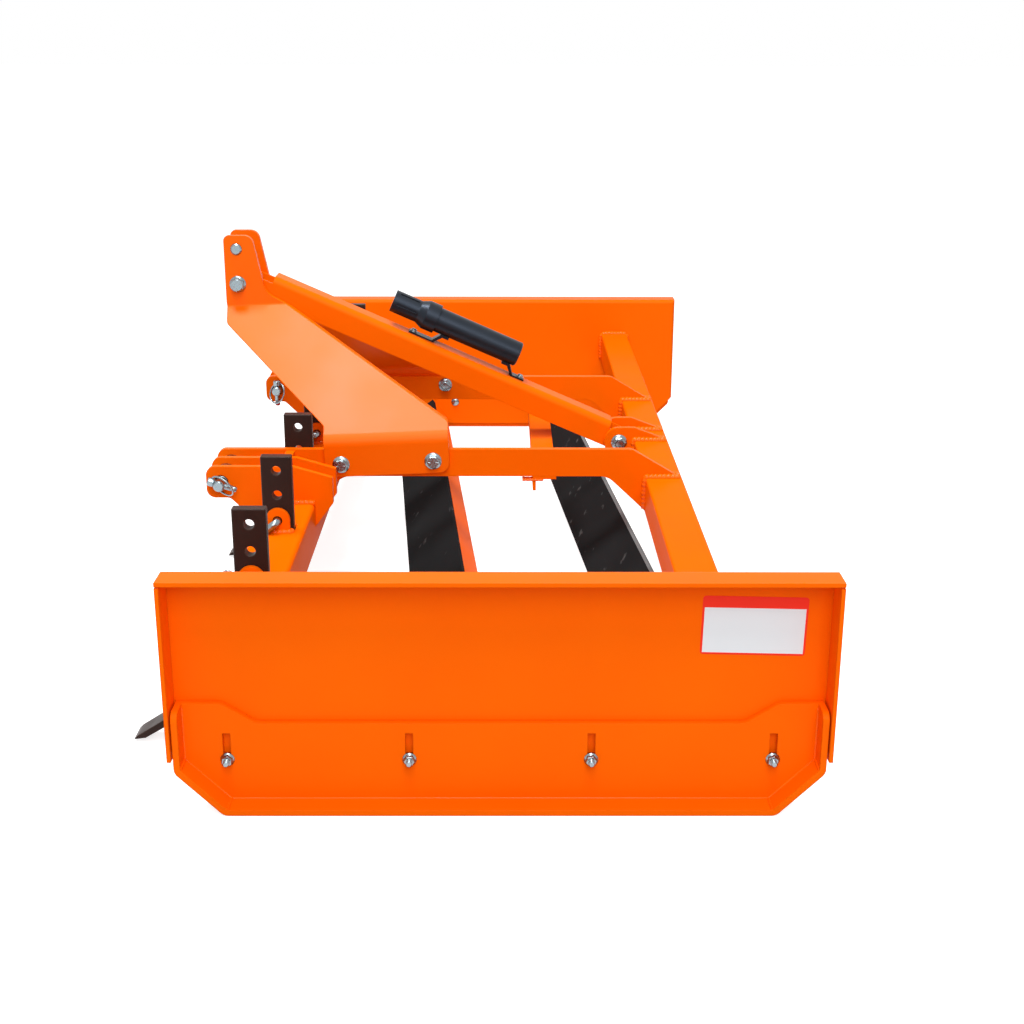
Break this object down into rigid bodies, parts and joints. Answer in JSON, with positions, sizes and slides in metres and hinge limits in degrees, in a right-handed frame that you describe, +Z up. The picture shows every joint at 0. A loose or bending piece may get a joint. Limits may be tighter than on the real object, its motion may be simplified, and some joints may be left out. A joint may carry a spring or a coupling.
{
  "type": "grading scraper",
  "caption": "Rear-mounted land grader with skid-shoe side panels, skewed cutting blades, adjustable ripper shanks and a three-point hitch A-frame.",
  "frame": {"origin": "bottom centre of the whole machine, on the ground under the skid shoes", "axes": "+X the way of travel, towards the tractor; +Y the machine's left; +Z up"},
  "size_m": [0.902, 1.911, 0.585],
  "materials": {
    "orange_powder_coat": "gloss powder coat",
    "shank_black": "satin brown-black paint",
    "blade_steel": "black oxide with scuffs",
    "canister_plastic": "moulded"
  },
  "bodies": {
    "frame": {"side_panel_left": "orange_powder_coat", "side_panel_right": "orange_powder_coat", "draft_bar_left": "orange_powder_coat", "draft_bar_right": "orange_powder_coat", "hitch_plate_middle_left": "orange_powder_coat", "hitch_plate_middle_right": "orange_powder_coat", "hitch_plate_outer_left": "orange_powder_coat", "hitch_plate_outer_right": "orange_powder_coat", "hitch_spacer_left": "orange_powder_coat", "hitch_spacer_right": "orange_powder_coat", "a_frame_left": "orange_powder_coat", "a_frame_right": "orange_powder_coat", "brace_lug_left": "orange_powder_coat", "brace_lug_right": "orange_powder_coat", "front_tube": "orange_powder_coat", "rear_tube": "orange_powder_coat", "shank_ears": "orange_powder_coat", "brace": "orange_powder_coat", "cross_angle": "orange_powder_coat", "front_blade_angle": "orange_powder_coat", "rear_blade_angle": "orange_powder_coat", "front_blade": "blade_steel", "rear_blade": "blade_steel", "canister_tube": "canister_plastic", "canister_cap": "canister_plastic", "canister_straps": "canister_plastic"},
    "skid_shoe_left": {"skid_shoe_left": "orange_powder_coat"},
    "skid_shoe_right": {"skid_shoe_right": "orange_powder_coat"},
    "shank_1": {"shank_1": "shank_black"},
    "shank_2": {"shank_2": "shank_black"},
    "shank_3": {"shank_3": "shank_black"},
    "shank_4": {"shank_4": "shank_black"},
    "shank_5": {"shank_5": "shank_black"},
    "shank_6": {"shank_6": "shank_black"},
    "shank_7": {"shank_7": "shank_black"}
  },
  "joints": [
    {"name": "skid_shoe_left_height", "type": "slide", "parent": "frame", "child": "skid_shoe_left", "axis": [0, 0, 1], "range_m": [-0.025, 0]},
    {"name": "skid_shoe_right_height", "type": "slide", "parent": "frame", "child": "skid_shoe_right", "axis": [0, 0, 1], "range_m": [-0.025, 0]},
    {"name": "shank_1_depth", "type": "slide", "parent": "frame", "child": "shank_1", "axis": [0, 0, 1], "range_m": [-0.074, 0]},
    {"name": "shank_2_depth", "type": "slide", "parent": "frame", "child": "shank_2", "axis": [0, 0, 1], "range_m": [-0.074, 0]},
    {"name": "shank_3_depth", "type": "slide", "parent": "frame", "child": "shank_3", "axis": [0, 0, 1], "range_m": [-0.074, 0]},
    {"name": "shank_4_depth", "type": "slide", "parent": "frame", "child": "shank_4", "axis": [0, 0, 1], "range_m": [-0.074, 0]},
    {"name": "shank_5_depth", "type": "slide", "parent": "frame", "child": "shank_5", "axis": [0, 0, 1], "range_m": [-0.074, 0]},
    {"name": "shank_6_depth", "type": "slide", "parent": "frame", "child": "shank_6", "axis": [0, 0, 1], "range_m": [-0.074, 0]},
    {"name": "shank_7_depth", "type": "slide", "parent": "frame", "child": "shank_7", "axis": [0, 0, 1], "range_m": [-0.074, 0]}
  ]
}
